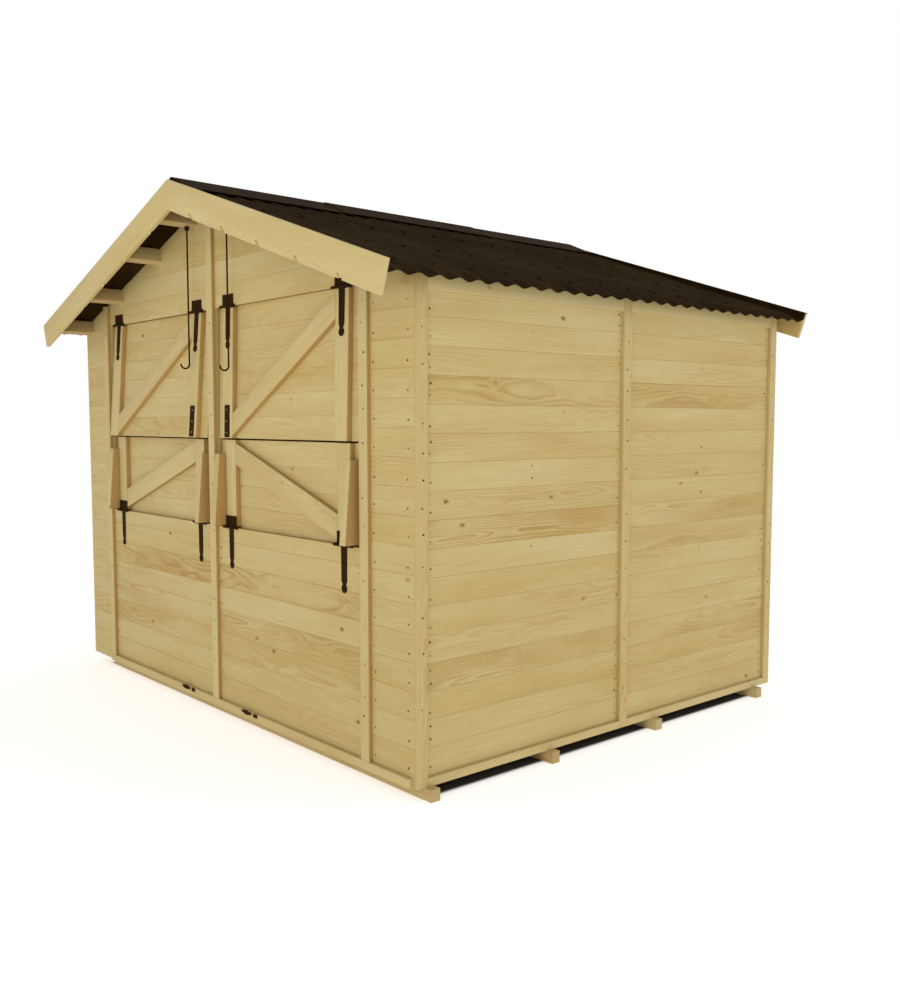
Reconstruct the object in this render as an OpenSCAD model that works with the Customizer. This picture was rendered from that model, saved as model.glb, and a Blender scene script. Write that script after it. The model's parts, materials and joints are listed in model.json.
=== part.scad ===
// Wooden market hut: a boarded gable hut with two serving bays in its front wall.
// Each bay has a shutter hinged at its top edge and a counter flap hinged at its bottom edge.
// Millimetres, Z up, origin on the ground under the middle of the roof.

/* [Hut] */
// Width over the boards of the side walls
hut_w = 3040; // [2800:10:3400]
// Depth over the boards of the front and rear walls
hut_d = 2400; // [2200:10:3000]
// Height of the side wall boards
wall_h = 1938; // [1900:2:2100]
// Thickness of the wall boards
board_t = 14; // [12:1:20]
// Width of the frame timbers
stud_w = 45; // [38:1:60]
// Depth of the frame timbers behind the boards
stud_d = 45; // [38:1:60]
// Number of studs along each side wall
side_studs_n = 5; // [3:1:7]

/* [Base] */
// Height of the bearers
bearer_h = 50; // [45:1:90]
// Width of each bearer
bearer_w = 45; // [40:1:80]
// How far the bearers stop short of the left wall face
bearer_short = 190; // [100:10:300]
// How far the bearers run out past the right wall face
bearer_out = 50; // [20:5:70]
// Thickness of the floor boards
floor_t = 18; // [14:1:25]

/* [Roof] */
// Pitch of the roof
roof_pitch = 18.5; // [15:0.5:22]
// Overhang of the roof at the front
front_over = 217; // [180:1:260]
// Overhang of the roof at the rear
rear_over = 125; // [100:5:200]
// How far the roof sheets run past the side boards
eave_over = 100; // [80:2:120]
// Length between neighbouring crests of the sheets
wave_pitch = 95; // [76:1:120]
// Height from trough to crest on one face of a sheet
wave_h = 24; // [18:1:32]
// Number of waves in the width of one sheet
sheet_waves = 11; // [8:1:14]
// Thickness of the sheets and the ridge pieces
sheet_t = 3; // [2:0.5:5]
// Distance down the slope from the ridge to the second purlin
purlin_second = 600; // [450:10:700]
// Distance down the slope from the ridge to the third purlin
purlin_third = 1104; // [950:2:1200]
// Width of the purlins
purlin_w = 45; // [38:1:55]
// Height of the purlins
purlin_h = 70; // [55:1:80]
// Width of each wing of the ridge pieces
cap_wing = 205; // [150:5:260]
// Slope of the wings of the ridge pieces
cap_pitch = 23; // [22:0.5:28]
// Width of the bargeboards
barge_w = 130; // [115:5:140]
// How far the bargeboards stand above the tops of the purlins
barge_up = 36; // [30:1:44]
// Thickness of the bargeboards
barge_t = 20; // [16:1:28]
// How far the bargeboards run past the eave edge of the sheets
barge_out = 4; // [0:2:40]

/* [Trims] */
// Width of the cover trims on the front wall
trim_w = 56; // [50:1:70]
// Width of the trims on the side walls
side_trim_w = 50; // [40:1:60]
// Thickness of the cover trims
trim_t = 17; // [12:1:22]
// Height of the batten along the foot of the front wall
sill_h = 36; // [20:1:70]
// Height of the battens along the feet of the side walls
skirt_h = 34; // [16:1:60]

/* [Serving bays] */
// Distance from the face of a side wall to the middle of the jamb trim beside it
return_w = 295; // [260:5:340]
// Height of the counter hinge pins above the foot of the walls
counter_pin = 884; // [820:1:950]
// Height of the line between shutters and counters above the foot of the walls
split_h = 1300; // [1260:1:1330]
// Height of the boards over the shutter hinge pins, where they are lowest
head_h = 132; // [110:1:180]
// Angle at which the left shutter hangs ajar
left_ajar = 4; // [0:0.5:5]
// Angle at which the right shutter hangs ajar
right_ajar = 1.5; // [0:0.5:5]
// Gap round the shutters and counters
leaf_gap = 8; // [6:1:12]
// Thickness of the stiles and braces on the shutters and counters
batten_t = 24; // [20:1:30]
// Width of the stiles and braces
batten_w = 90; // [80:1:110]
// Distance from the edge of a shutter or counter to its stile
stile_in = 73; // [60:1:90]
// Thickness of the wedge brackets on the counters
wedge_w = 40; // [30:1:50]
// Depth of the wedge brackets at the top
wedge_top = 56; // [40:1:66]
// Depth of the wedge brackets at the foot
wedge_foot = 84; // [70:1:95]
// Distance from the top of a counter to the top of its wedge brackets
wedge_drop = 66; // [30:2:100]

/* [Ironwork] */
// Thickness of the hinge iron
iron_t = 3; // [2:0.5:4]
// Radius of the hinge knuckles
knuckle_r = 6; // [5.5:0.5:8]
// Radius of the hinge pins
pin_r = 3; // [2:0.5:4]
// Play between a hinge pin and its bore
pin_play = 0.05; // [0.02:0.01:0.1]
// Width of the butt plate of a hinge
plate_w = 98; // [80:1:115]
// Length of the row of knuckles of a hinge
knuckle_l = 130; // [118:1:140]
// Height of the butt plate of a hinge
plate_h = 55; // [45:1:65]
// Length of the strap of a hinge
strap_l = 195; // [150:5:220]
// Width of the strap beside the knuckle
strap_w = 40; // [34:1:46]
// Width of the rounded end of the strap
spade_w = 36; // [30:1:42]
// Width of the neck above the rounded end
neck_w = 24; // [18:1:28]
// Width of the keep plate on a shutter
keep_w = 44; // [36:1:60]
// Height of the keep plate on a shutter
keep_h = 150; // [120:5:180]
// Thickness of the rods of the long hooks
rod_d = 8; // [6:1:12]
// Length of the long hooks from eye to hook
hook_l = 645; // [560:5:660]
// Inner radius of the bend at the end of a long hook
bend_r = 18; // [12:1:25]
// Distance of the left long hook from the middle of the front
left_hook_x = 158; // [150:2:230]
// Distance of the right long hook from the middle of the front
right_hook_x = 228; // [150:2:230]

/* [Hidden] */
$fn = 48;

pine = "#d9c286";
pine_pale = "#e4d09a";
pine_frame = "#cdb477";
bitumen = "#2b2621";
iron = "#1f1d1c";

half_w = hut_w / 2;
base_z = bearer_h;
deck_z = base_z + floor_t;
front_y = (front_over - hut_d - rear_over) / 2;
rise = tan(roof_pitch);
ridge_z = base_z + wall_h + half_w * rise;
lap_gap = 0.2;
lap_lift = sheet_t + lap_gap;
crest = wave_h + sheet_t + lap_lift;
roof_front = -front_over + barge_t;
roof_back = hut_d + rear_over - barge_t;
sheet_l = (half_w + eave_over) / cos(roof_pitch);
barge_l = sheet_l + barge_out;
inner_x = half_w - board_t;
stud_x = inner_x - stud_d;
frame_y = board_t + stud_d;
joint_gap = 1;

// The purlins, measured down the slope from the ridge
eave_in = 36;
lower_purlins = [purlin_second, purlin_third, (inner_x - eave_in) / cos(roof_pitch)];

// The bearers, measured from the front wall face to the middle of each
bearer_first = 60;
bearer_second = 722;
bearer_third = 1422;
bearer_last = 138;
bearer_y = [bearer_first, bearer_second, bearer_third, hut_d - bearer_last];

// The serving bays
open_in = trim_w / 2;
open_out = half_w - return_w - trim_w / 2;
leaf_in = open_in + leaf_gap;
leaf_out = open_out - leaf_gap;
pin_off = knuckle_r + 1;
low_pin_z = base_z + counter_pin;
top_pin_z = slope_z(open_out) - head_h;
split_z = base_z + split_h;
seam = 1;
tuck = 3;
clearance = 5;
flap_z = low_pin_z + pin_off;
flap_top = split_z - leaf_gap / 2;
shutter_z = split_z + leaf_gap / 2;
shutter_top = top_pin_z - pin_off;
low_wall_top = low_pin_z - seam;
gable_z = top_pin_z + seam;
panel_foot = low_pin_z - tuck;
panel_top = top_pin_z + tuck;
hinge_in = leaf_in + stile_in + batten_w / 2;
hinge_out = leaf_out - stile_in - batten_w / 2;

// The rear door
door_w = 800;
door_h = 1780;
door_gap = 6;
door_in = door_w / 2 + door_gap;
door_lap = 15;
stop_x = door_w / 2 - door_lap;
door_top = base_z + door_h + door_gap;

// The long hooks
eye_r = 7.5;
eye_w = rod_d + 2;
hook_y = -43;
lug_t = 4;
eye_drop = 8;

// Height of the plane that carries the roof sheets
function slope_z(x) = ridge_z - abs(x) * rise;

// Place and height of the long hook on one side, under the first purlin of its slope
function hook_x(s) = s < 0 ? left_hook_x : right_hook_x;
function hook_z(s) = slope_z(hook_x(s)) - purlin_h / cos(roof_pitch) - eye_r - eye_drop;
function first_purlin(s) = hook_x(s) / cos(roof_pitch) + purlin_h * rise;

// Moves the hut from its front wall face to its own middle
module place() {
    translate([0, front_y, 0])
        children();
}

module both_sides() {
    children();
    mirror([1, 0, 0])
        children();
}

module side(s) {
    mirror([s < 0 ? 1 : 0, 0, 0])
        children();
}

// An upright slab drawn in X and Z, from y0 to y1
module slab(y0, y1) {
    translate([0, y1, 0])
        rotate([90, 0, 0])
            linear_extrude(y1 - y0)
                children();
}

// A box between two corners
module span(a, b) {
    translate(a)
        cube(b - a);
}

// The frame of one roof slope: X down the slope, Z square to it, from the purlins' top faces
module on_slope() {
    translate([0, 0, ridge_z])
        rotate([0, roof_pitch, 0])
            children();
}

// The purlins, or with some height added the cutters that notch the boards round them
module purlin_bars(over) {
    for (s = [-1, 1])
        side(s)
            on_slope()
                for (d = concat([first_purlin(s)], lower_purlins))
                    span([d - purlin_w / 2, roof_front, -purlin_h], [d + purlin_w / 2, roof_back, over]);
}

// Base

module bearers() {
    color(pine_frame)
        place()
            for (y = bearer_y)
                span([-half_w + bearer_short, y - bearer_w / 2, 0],
                    [half_w + bearer_out, y + bearer_w / 2, bearer_h]);
}

module floor_deck() {
    color(pine_frame)
        place()
            span([-inner_x, board_t, base_z], [inner_x, hut_d - board_t, deck_z]);
}

// Walls

module side_boards() {
    span([inner_x, board_t, base_z], [half_w, hut_d - board_t, base_z + wall_h]);
}

module left_wall() {
    color(pine)
        place()
            side(-1)
                side_boards();
}

module right_wall() {
    color(pine)
        place()
            side_boards();
}

// Outline of gable boards between two distances from the middle, cut to the roof slope
module gable_outline(x0, x1, z0) {
    polygon([[x0, z0], [x1, z0], [x1, slope_z(x1)], [x0, slope_z(x0)]]);
}

module front_returns() {
    color(pine)
        place()
            difference() {
                both_sides()
                    slab(0, board_t)
                        gable_outline(open_out, half_w, base_z);
                purlin_bars(crest);
            }
}

module front_gable() {
    color(pine)
        place()
            difference() {
                slab(0, board_t)
                    polygon([[-open_out, gable_z], [open_out, gable_z], [open_out, slope_z(open_out)],
                        [0, ridge_z], [-open_out, slope_z(open_out)]]);
                purlin_bars(crest);
            }
}

module front_lower_wall() {
    color(pine)
        place()
            span([-open_out, 0, base_z], [open_out, board_t, low_wall_top]);
}

module rear_wall() {
    color(pine)
        place()
            difference() {
                both_sides()
                    slab(hut_d - board_t, hut_d)
                        gable_outline(door_in, half_w, base_z);
                purlin_bars(crest);
            }
}

module rear_gable() {
    color(pine)
        place()
            difference() {
                slab(hut_d - board_t, hut_d)
                    polygon([[-door_in, door_top], [door_in, door_top], [door_in, slope_z(door_in)],
                        [0, ridge_z], [-door_in, slope_z(door_in)]]);
                purlin_bars(crest);
            }
}

module rear_door() {
    color(pine_pale)
        place()
            span([-door_w / 2, hut_d - board_t, base_z], [door_w / 2, hut_d, base_z + door_h]);
}

// Frame

// A post of the end walls, cut under the rafters
module end_post(x0, x1, y0, y1) {
    slab(y0, y1)
        polygon([[x0, deck_z], [x1, deck_z], [x1, post_top(x1)], [x0, post_top(x0)]]);
}

// Height of the underside of the rafters
function rafter_foot(x) = slope_z(x) - (purlin_h + lap_gap + stud_w) / cos(roof_pitch);

// Height of the tops of the posts
function post_top(x) = rafter_foot(x) - lap_gap;

module front_posts() {
    color(pine_frame)
        place() {
            both_sides()
                end_post(open_out, open_out + trim_w, board_t, frame_y);
            slab(board_t, frame_y)
                polygon([[-open_in, deck_z], [open_in, deck_z], [open_in, post_top(open_in)],
                    [0, post_top(0)], [-open_in, post_top(open_in)]]);
            span([-open_in, 0, low_wall_top], [open_in, board_t, gable_z]);
        }
}

module front_rails() {
    low_rail_top = panel_foot - clearance;
    head_z = panel_top + clearance;
    color(pine_frame)
        place()
            both_sides() {
                span([open_in, board_t, low_rail_top - stud_w], [open_out, frame_y, low_rail_top]);
                difference() {
                    span([open_in, board_t, head_z], [open_out, frame_y, head_z + stud_w]);
                    rafter(board_t);
                }
            }
}

module rear_posts() {
    color(pine_frame)
        place()
            both_sides()
                end_post(stop_x, stop_x + stud_w, hut_d - frame_y, hut_d - board_t);
}

module side_studs() {
    step = (hut_d - 2 * board_t - stud_w) / (side_studs_n - 1);
    color(pine_frame)
        place()
            both_sides()
                for (i = [0 : side_studs_n - 1])
                    span([stud_x, board_t + i * step, deck_z + stud_w],
                        [inner_x, board_t + i * step + stud_w, plate_z()]);
}

// Underside of the top plates
function plate_z() = slope_z(inner_x) - (purlin_h + lap_gap) / cos(roof_pitch) - stud_w;

module side_plates() {
    color(pine_frame)
        place()
            both_sides() {
                span([stud_x, board_t, deck_z], [inner_x, hut_d - board_t, deck_z + stud_w]);
                slab(board_t, hut_d - board_t)
                    polygon([[stud_x, plate_z()], [inner_x, plate_z()],
                        [inner_x, plate_z() + stud_w], [stud_x, plate_z() + stud_w + stud_d * rise]]);
            }
}

// One rafter, from the ridge to the top plate
module rafter(y0) {
    slab(y0, y0 + stud_d)
        polygon([[0, rafter_foot(0)], [stud_x, rafter_foot(stud_x)],
            [stud_x, rafter_foot(stud_x) + stud_w / cos(roof_pitch)],
            [0, rafter_foot(0) + stud_w / cos(roof_pitch)]]);
}

module rafter_pair() {
    rafter(board_t);
    rafter(hut_d - frame_y);
}

module left_rafters() {
    color(pine_frame)
        place()
            side(-1)
                rafter_pair();
}

module right_rafters() {
    color(pine_frame)
        place()
            rafter_pair();
}

// Roof

module purlins() {
    color(pine_frame)
        place()
            purlin_bars(0);
}

// Corrugated section of one sheet, drawn along the hut between two counts of waves
module wave_outline(first, last) {
    steps = 8;
    count = (last - first) * steps;
    foot = [for (i = [0 : count])
        let (y = min(first * wave_pitch + i * wave_pitch / steps, roof_back - roof_front))
        [roof_front + y, wave_h / 2 * (1 - cos(360 * y / wave_pitch))]];
    polygon(concat([for (p = foot) p + [0, sheet_t]], [for (i = [count : -1 : 0]) foot[i]]));
}

// The sheets of one slope, each lapping the next by one wave
module slope_sheets() {
    ridge_gap = 12;
    start = sheet_t + ridge_gap;
    waves = (roof_back - roof_front) / wave_pitch;
    step = sheet_waves - 1;
    on_slope()
        for (i = [0 : ceil((waves - 1) / step) - 1])
            translate([start, 0, i % 2 * lap_lift])
                rotate([90, 0, 90])
                    linear_extrude(sheet_l - start)
                        wave_outline(i * step, min(i * step + sheet_waves, ceil(waves * 8) / 8));
}

module left_roof_sheets() {
    color(bitumen)
        place()
            side(-1)
                slope_sheets();
}

module right_roof_sheets() {
    color(bitumen)
        place()
            slope_sheets();
}

// Folded ridge piece between two places along the hut, resting on the crests by the edges of its wings
module cap_piece(y0, y1, lift) {
    wing_x = cap_wing * cos(cap_pitch);
    edge = slope_z(wing_x) + (crest + lap_gap + lift) / cos(roof_pitch);
    fold = edge + wing_x * tan(cap_pitch);
    up = sheet_t / cos(cap_pitch);
    slab(y0, y1)
        polygon([[0, fold], [wing_x, edge], [wing_x, edge + up], [0, fold + up],
            [-wing_x, edge + up], [-wing_x, edge]]);
}

module ridge_cap() {
    third = (roof_back - roof_front) / 3;
    lap = 60;
    color(bitumen)
        place() {
            cap_piece(roof_front, roof_front + third, 0);
            cap_piece(roof_front + third - lap, roof_back - third + lap, lap_lift);
            cap_piece(roof_back - third, roof_back, 0);
        }
}

// One bargeboard, mitred at the ridge, with gouged notches along its lower arris at the front
module bargeboard(y0, notched) {
    notch_r = 27;
    notch_out = 9;
    notch_n = 5;
    notch_step = barge_l / (notch_n + 0.7);
    notch_start = 255;
    low = barge_up - barge_w;
    difference() {
        intersection() {
            on_slope()
                span([-barge_w, y0, low], [barge_l, y0 + barge_t, barge_up]);
            span([0, y0 - 1, 0], [hut_w, y0 + barge_t + 1, 2 * ridge_z]);
        }
        if (notched)
            on_slope()
                for (i = [0 : notch_n - 1])
                    translate([notch_start + i * notch_step, y0, low])
                        rotate([45, 0, 0])
                            translate([0, -notch_out, 0])
                                cylinder(r = notch_r, h = 4 * notch_r, center = true);
    }
}

module front_left_bargeboard() {
    color(pine_pale)
        place()
            side(-1)
                bargeboard(-front_over, true);
}

module front_right_bargeboard() {
    color(pine_pale)
        place()
            bargeboard(-front_over, true);
}

module rear_left_bargeboard() {
    color(pine_pale)
        place()
            side(-1)
                bargeboard(roof_back, false);
}

module rear_right_bargeboard() {
    color(pine_pale)
        place()
            bargeboard(roof_back, false);
}

// Trims

module front_trims() {
    foot = base_z + sill_h;
    color(pine_pale)
        place()
            difference() {
                union() {
                    both_sides()
                        span([open_out, -trim_t, foot], [open_out + trim_w, 0, slope_z(open_out + trim_w)]);
                    span([-open_in, -trim_t, foot], [open_in, 0, slope_z(open_in)]);
                }
                purlin_bars(crest);
            }
}

module side_trims() {
    color(pine_pale)
        place()
            both_sides()
                for (y = [0, (hut_d - side_trim_w) / 2, hut_d - side_trim_w])
                    span([half_w, y, base_z], [half_w + trim_t, y + side_trim_w, slope_z(half_w + trim_t)]);
}

module sill_batten() {
    color(pine_pale)
        place()
            span([-open_out - trim_w, -trim_t, base_z], [half_w - trim_t, 0, base_z + sill_h]);
}

module side_skirts() {
    run = (hut_d - 3 * side_trim_w) / 2;
    color(pine_pale)
        place()
            both_sides()
                for (y = [side_trim_w, 2 * side_trim_w + run])
                    span([half_w, y, base_z], [half_w + trim_t, y + run, base_z + skirt_h]);
}

// Hinges, drawn round a pin along X: the butt plate above the pin, the strap below it

// A knuckle round the pin, with a web to the plane of its leaf
module knuckle(x0, x1, up) {
    translate([x0, 0, 0])
        rotate([0, 90, 0])
            cylinder(r = knuckle_r, h = x1 - x0);
    span([x0, pin_off - iron_t, up > 0 ? 0 : -knuckle_r - 1], [x1, pin_off, up > 0 ? knuckle_r + 1 : 0]);
}

module pin(r) {
    translate([-knuckle_l / 2, 0, 0])
        rotate([0, 90, 0])
            cylinder(r = r, h = knuckle_l);
}

// A hinge leaf is bored where it turns on the pin, and carries the pin where it is fixed
module pinned(bored) {
    difference() {
        children();
        if (bored)
            pin(pin_r + pin_play);
    }
    if (!bored)
        pin(pin_r);
}

module butt_leaf(bored) {
    inner = strap_w / 2 + joint_gap;
    pinned(bored) {
        union() {
            knuckle(-knuckle_l / 2, -inner, 1);
            knuckle(inner, knuckle_l / 2, 1);
            span([-plate_w / 2, pin_off - iron_t, knuckle_r + 1], [plate_w / 2, pin_off, plate_h]);
        }
    }
}

module strap_leaf(bored) {
    spade_r = spade_w / 2;
    neck_gap = 4;
    flare = 6;
    neck = -strap_l + 2 * spade_r + neck_gap;
    pinned(bored) {
        union() {
            knuckle(-strap_w / 2, strap_w / 2, -1);
            slab(pin_off - iron_t, pin_off) {
                polygon([[-strap_w / 2, -knuckle_r], [strap_w / 2, -knuckle_r], [spade_r, neck + flare],
                    [neck_w / 2, neck], [-neck_w / 2, neck], [-spade_r, neck + flare]]);
                translate([-neck_w / 2, neck - spade_r])
                    square([neck_w, spade_r]);
                translate([0, -strap_l + spade_r])
                    circle(r = spade_r);
            }
        }
    }
}

// Puts hinges on both stiles of a bay, on a pin at height z
module at_hinges(z) {
    for (x = [hinge_in, hinge_out])
        translate([x, -pin_off, z])
            children();
}

module fixed_irons() {
    at_hinges(top_pin_z)
        butt_leaf(false);
    at_hinges(low_pin_z)
        strap_leaf(false);
}

module left_fixed_irons() {
    color(iron)
        place()
            side(-1)
                fixed_irons();
}

module right_fixed_irons() {
    color(iron)
        place()
            fixed_irons();
}

// Shutters and counters

module leaf_panel(z0, z1) {
    span([leaf_in, batten_t, z0], [leaf_out, batten_t + board_t, z1]);
}

// Two stiles and a brace that rises away from the middle, or falls
module leaf_battens(z0, z1, rising) {
    a = leaf_in + stile_in;
    b = leaf_out - stile_in;
    x0 = a + batten_w + joint_gap;
    x1 = b - batten_w - joint_gap;
    m = 14;
    v = batten_w * 1.12;
    lo = z0 + m;
    hi = z1 - m - v;
    span([a, 0, z0], [a + batten_w, batten_t, z1]);
    span([b - batten_w, 0, z0], [b, batten_t, z1]);
    slab(0, batten_t)
        polygon(rising
            ? [[x0, lo], [x1, hi], [x1, hi + v], [x0, lo + v]]
            : [[x0, hi], [x1, lo], [x1, lo + v], [x0, hi + v]]);
}

// Turns a shutter about its pins
module swung(angle) {
    translate([0, -pin_off, top_pin_z])
        rotate([-angle, 0, 0])
            translate([0, pin_off, -top_pin_z])
                children();
}

module shutter_irons() {
    keep_up = 4;
    keep_z = shutter_z + keep_up;
    at_hinges(top_pin_z)
        strap_leaf(true);
    span([hinge_in - keep_w / 2, -iron_t, keep_z], [hinge_in + keep_w / 2, 0, keep_z + keep_h]);
}

module left_shutter_panel() {
    color(pine)
        place()
            swung(left_ajar)
                side(-1)
                    leaf_panel(shutter_z, panel_top);
}

module left_shutter_battens() {
    color(pine_pale)
        place()
            swung(left_ajar)
                side(-1)
                    leaf_battens(shutter_z, shutter_top, false);
}

module left_shutter_irons() {
    color(iron)
        place()
            swung(left_ajar)
                side(-1)
                    shutter_irons();
}

module right_shutter_panel() {
    color(pine)
        place()
            swung(right_ajar)
                leaf_panel(shutter_z, panel_top);
}

module right_shutter_battens() {
    color(pine_pale)
        place()
            swung(right_ajar)
                leaf_battens(shutter_z, shutter_top, true);
}

module right_shutter_irons() {
    color(iron)
        place()
            swung(right_ajar)
                shutter_irons();
}

// A wedge bracket from x0, in the space between a stile and the edge of its counter
module wedge(x0) {
    top = flap_top - wedge_drop;
    foot = flap_z + joint_gap;
    translate([x0, 0, 0])
        rotate([90, 0, 90])
            linear_extrude(wedge_w)
                polygon([[batten_t, foot], [batten_t, top], [batten_t - wedge_top, top],
                    [batten_t - wedge_foot, foot]]);
}

module counter_wedges() {
    clear = (plate_w - batten_w) / 2 + joint_gap;
    wedge(leaf_in + stile_in - clear - wedge_w);
    wedge(leaf_out - stile_in + clear);
}

module left_counter_panel() {
    color(pine)
        place()
            side(-1)
                leaf_panel(panel_foot, flap_top);
}

module left_counter_battens() {
    color(pine_pale)
        place()
            side(-1)
                leaf_battens(flap_z, flap_top, false);
}

module left_counter_wedges() {
    color(pine_pale)
        place()
            side(-1)
                counter_wedges();
}

module left_counter_irons() {
    color(iron)
        place()
            side(-1)
                at_hinges(low_pin_z)
                    butt_leaf(true);
}

module right_counter_panel() {
    color(pine)
        place()
            leaf_panel(panel_foot, flap_top);
}

module right_counter_battens() {
    color(pine_pale)
        place()
            leaf_battens(flap_z, flap_top, false);
}

module right_counter_wedges() {
    color(pine_pale)
        place()
            counter_wedges();
}

module right_counter_irons() {
    color(iron)
        place()
            at_hinges(low_pin_z)
                butt_leaf(true);
}

// Long hooks

// A bracket under the first purlin of a slope: two lugs and the pin that the hook swings on
module hook_eye(s) {
    gap = eye_w / 2 + joint_gap;
    pin_half = gap + lug_t;
    top = slope_z(hook_x(s) + pin_half) - purlin_h / cos(roof_pitch);
    translate([hook_x(s), hook_y, 0]) {
        for (x = [-pin_half, gap])
            span([x, -eye_r, hook_z(s) - eye_r], [x + lug_t, eye_r, top]);
        translate([-pin_half, 0, hook_z(s)])
            rotate([0, 90, 0])
                cylinder(r = pin_r, h = 2 * pin_half);
    }
}

module hook_eyes() {
    color(iron)
        place()
            for (s = [-1, 1])
                side(s)
                    hook_eye(s);
}

// A rod with an eye at the top and an open bend at the foot
module long_hook(s) {
    mid_r = bend_r + rod_d / 2;
    translate([hook_x(s), hook_y, hook_z(s)]) {
        difference() {
            union() {
                translate([-eye_w / 2, 0, 0])
                    rotate([0, 90, 0])
                        cylinder(r = eye_r, h = eye_w);
                translate([0, 0, -hook_l])
                    cylinder(d = rod_d, h = hook_l - pin_r - 2);
            }
            translate([-eye_w, 0, 0])
                rotate([0, 90, 0])
                    cylinder(r = pin_r + pin_play, h = 2 * eye_w);
        }
        translate([0, -mid_r, -hook_l])
            intersection() {
                rotate([0, 90, 0])
                    rotate_extrude()
                        translate([mid_r, 0])
                            circle(d = rod_d);
                span([-rod_d, -2 * mid_r, -2 * mid_r], [rod_d, 2 * mid_r, 0]);
            }
    }
}

module left_hook() {
    color(iron)
        place()
            side(-1)
                long_hook(-1);
}

module right_hook() {
    color(iron)
        place()
            long_hook(1);
}

bearers();
floor_deck();
left_wall();
right_wall();
rear_wall();
rear_gable();
rear_door();
front_returns();
front_gable();
front_lower_wall();
front_posts();
front_rails();
rear_posts();
side_studs();
side_plates();
left_rafters();
right_rafters();
purlins();
left_roof_sheets();
right_roof_sheets();
ridge_cap();
front_left_bargeboard();
front_right_bargeboard();
rear_left_bargeboard();
rear_right_bargeboard();
front_trims();
side_trims();
sill_batten();
side_skirts();
left_fixed_irons();
right_fixed_irons();
hook_eyes();
left_shutter_panel();
left_shutter_battens();
left_shutter_irons();
right_shutter_panel();
right_shutter_battens();
right_shutter_irons();
left_counter_panel();
left_counter_battens();
left_counter_wedges();
left_counter_irons();
right_counter_panel();
right_counter_battens();
right_counter_wedges();
right_counter_irons();
left_hook();
right_hook();
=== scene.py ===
import bmesh
import bpy
import json
import math
import random
from mathutils import Matrix, Vector


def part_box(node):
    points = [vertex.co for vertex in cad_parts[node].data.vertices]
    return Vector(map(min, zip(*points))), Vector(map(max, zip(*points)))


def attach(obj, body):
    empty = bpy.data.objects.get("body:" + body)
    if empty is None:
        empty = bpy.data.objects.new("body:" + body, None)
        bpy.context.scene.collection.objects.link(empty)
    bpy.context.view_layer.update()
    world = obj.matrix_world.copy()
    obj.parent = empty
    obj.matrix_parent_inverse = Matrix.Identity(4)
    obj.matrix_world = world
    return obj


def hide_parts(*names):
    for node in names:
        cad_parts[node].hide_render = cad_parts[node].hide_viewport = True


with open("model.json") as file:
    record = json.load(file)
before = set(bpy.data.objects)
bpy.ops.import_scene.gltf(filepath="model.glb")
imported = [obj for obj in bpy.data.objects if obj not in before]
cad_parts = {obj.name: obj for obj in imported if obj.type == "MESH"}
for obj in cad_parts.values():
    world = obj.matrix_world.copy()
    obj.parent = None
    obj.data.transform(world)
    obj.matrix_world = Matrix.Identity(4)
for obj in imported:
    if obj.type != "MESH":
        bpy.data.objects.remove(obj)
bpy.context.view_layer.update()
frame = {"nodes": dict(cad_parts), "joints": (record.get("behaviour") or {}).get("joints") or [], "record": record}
nodes = frame["nodes"]
bodyOf = {n: b for b, members in frame["record"]["behaviour"]["bodies"].items() for n in members}
print("frame loaded:", len(nodes), "nodes")


# camera

view = {"place": (4.404, -3.494, 1.433), "yaw": 48.92, "dip": 4.46, "lens": 36.38, "sensor": 36, "far": 200}

eye = bpy.data.objects.new("hutCamera", bpy.data.cameras.new("hutCamera"))
bpy.context.scene.collection.objects.link(eye)
eye.location = view["place"]
eye.rotation_euler = (math.radians(90 - view["dip"]), 0, math.radians(view["yaw"]))
eye.data.sensor_width = view["sensor"]
eye.data.lens = view["lens"]
eye.data.clip_end = view["far"]
bpy.context.scene.camera = eye
bpy.context.scene.view_settings.view_transform = "Standard"


# shader helpers

def startFinish(name):
    finish = bpy.data.materials.new(name)
    finish.use_nodes = True
    tree = finish.node_tree
    tree.nodes.clear()
    out = tree.nodes.new("ShaderNodeOutputMaterial")
    skin = tree.nodes.new("ShaderNodeBsdfPrincipled")
    tree.links.new(skin.outputs[0], out.inputs[0])
    return finish, tree, skin


def feed(tree, socket, value):
    if isinstance(value, bpy.types.NodeSocket):
        tree.links.new(value, socket)
    elif value is not None:
        socket.default_value = value


def calc(tree, kind, a, b=None, clamp=False):
    n = tree.nodes.new("ShaderNodeMath")
    n.operation = kind
    n.use_clamp = clamp
    for socket, value in zip(n.inputs, (a, b)):
        feed(tree, socket, value)
    return n.outputs[0]


def ramp(tree, value, low, high, outLow=0.0, outHigh=1.0):  # smooth step between two values
    n = tree.nodes.new("ShaderNodeMapRange")
    n.interpolation_type = "SMOOTHSTEP"
    for socket, v in zip(n.inputs[:5], (value, low, high, outLow, outHigh)):
        feed(tree, socket, v)
    return n.outputs[0]


def tint(tree, amount, a, b):
    n = tree.nodes.new("ShaderNodeMix")
    n.data_type = "RGBA"
    feed(tree, n.inputs[0], amount)
    feed(tree, n.inputs[6], a if isinstance(a, bpy.types.NodeSocket) else (*a, 1))
    feed(tree, n.inputs[7], b if isinstance(b, bpy.types.NodeSocket) else (*b, 1))
    return n.outputs[2]


def joined(tree, x, y, z):
    n = tree.nodes.new("ShaderNodeCombineXYZ")
    for socket, v in zip(n.inputs, (x, y, z)):
        feed(tree, socket, v)
    return n.outputs[0]


def speckle(tree, place, scale, detail=2.0, rough=0.5):
    n = tree.nodes.new("ShaderNodeTexNoise")
    feed(tree, n.inputs["Vector"], place)
    n.inputs["Scale"].default_value = scale
    n.inputs["Detail"].default_value = detail
    n.inputs["Roughness"].default_value = rough
    return n.outputs[0]


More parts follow.
